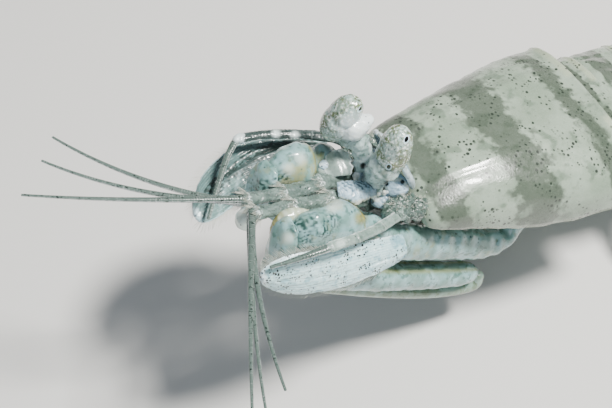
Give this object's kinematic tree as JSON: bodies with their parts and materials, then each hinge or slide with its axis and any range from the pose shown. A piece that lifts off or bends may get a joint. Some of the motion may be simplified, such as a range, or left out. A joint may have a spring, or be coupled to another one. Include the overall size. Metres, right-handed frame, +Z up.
{
  "type": "mantis shrimp",
  "caption": "Life-size model of a large pale spearing mantis shrimp at rest, head raised on its folded toothed claws, stalked eyes up and tail fan flat on the floor.",
  "frame": {"origin": "on the floor, under the middle of the whole animal's box", "axes": "+X the way the animal faces, +Y its left side, +Z up"},
  "size_m": [0.3079, 0.0822, 0.0706],
  "materials": {
    "carapace_cuticle": "wet pale cream-green cuticle with fine dark speckles and a broad dusky saddle",
    "body_cuticle": "wet pale cream-green cuticle with fine dark speckles and dusky cross bands",
    "limb_cuticle": "thin, slightly clear grey-green cuticle with black dots and white rims",
    "claw_cuticle": "smooth bluish-white cuticle with soft green spots and olive-yellow rims",
    "fan_cuticle": "wet speckled cuticle, darker towards the edge, with a fringe of hairs",
    "eye_cuticle": "pearly grey cornea with fine facets, olive mottling and small black false pupils"
  },
  "bodies": {
    "root": {"abdomen_1": "body_cuticle", "abdomen_2": "body_cuticle", "abdomen_3": "body_cuticle", "abdomen_4": "body_cuticle", "abdomen_5": "body_cuticle", "abdomen_6": "body_cuticle", "antennal_scale_left": "limb_cuticle", "antennal_scale_right": "limb_cuticle", "carapace": "carapace_cuticle", "claw_carpus_left": "claw_cuticle", "claw_carpus_right": "claw_cuticle", "claw_dactylus_left": "claw_cuticle", "claw_dactylus_right": "claw_cuticle", "claw_merus_left": "claw_cuticle", "claw_merus_right": "claw_cuticle", "claw_propodus_left": "claw_cuticle", "claw_propodus_right": "claw_cuticle", "cornea_left": "eye_cuticle", "cornea_right": "eye_cuticle", "eyestalk_left": "limb_cuticle", "eyestalk_right": "limb_cuticle", "first_antenna_left": "limb_cuticle", "first_antenna_right": "limb_cuticle", "first_antenna_whips_left": "limb_cuticle", "first_antenna_whips_right": "limb_cuticle", "head_front": "limb_cuticle", "maxilliped_1_left": "limb_cuticle", "maxilliped_1_right": "limb_cuticle", "maxilliped_3_left": "limb_cuticle", "maxilliped_3_right": "limb_cuticle", "maxilliped_4_left": "limb_cuticle", "maxilliped_4_right": "limb_cuticle", "maxilliped_5_left": "limb_cuticle", "maxilliped_5_right": "limb_cuticle", "rostral_plate": "carapace_cuticle", "second_antenna_left": "limb_cuticle", "second_antenna_right": "limb_cuticle", "swimming_legs_1": "fan_cuticle", "swimming_legs_2": "fan_cuticle", "swimming_legs_3": "fan_cuticle", "swimming_legs_4": "fan_cuticle", "swimming_legs_5": "fan_cuticle", "telson": "fan_cuticle", "thorax_5": "body_cuticle", "thorax_6": "body_cuticle", "thorax_7": "body_cuticle", "thorax_8": "body_cuticle", "uropod_base_left": "fan_cuticle", "uropod_base_right": "fan_cuticle", "uropod_inner_left": "fan_cuticle", "uropod_inner_right": "fan_cuticle", "uropod_outer_left": "fan_cuticle", "uropod_outer_right": "fan_cuticle", "walking_leg_1_left": "limb_cuticle", "walking_leg_1_right": "limb_cuticle", "walking_leg_2_left": "limb_cuticle", "walking_leg_2_right": "limb_cuticle", "walking_leg_3_left": "limb_cuticle", "walking_leg_3_right": "limb_cuticle"}
  },
  "joints": []
}
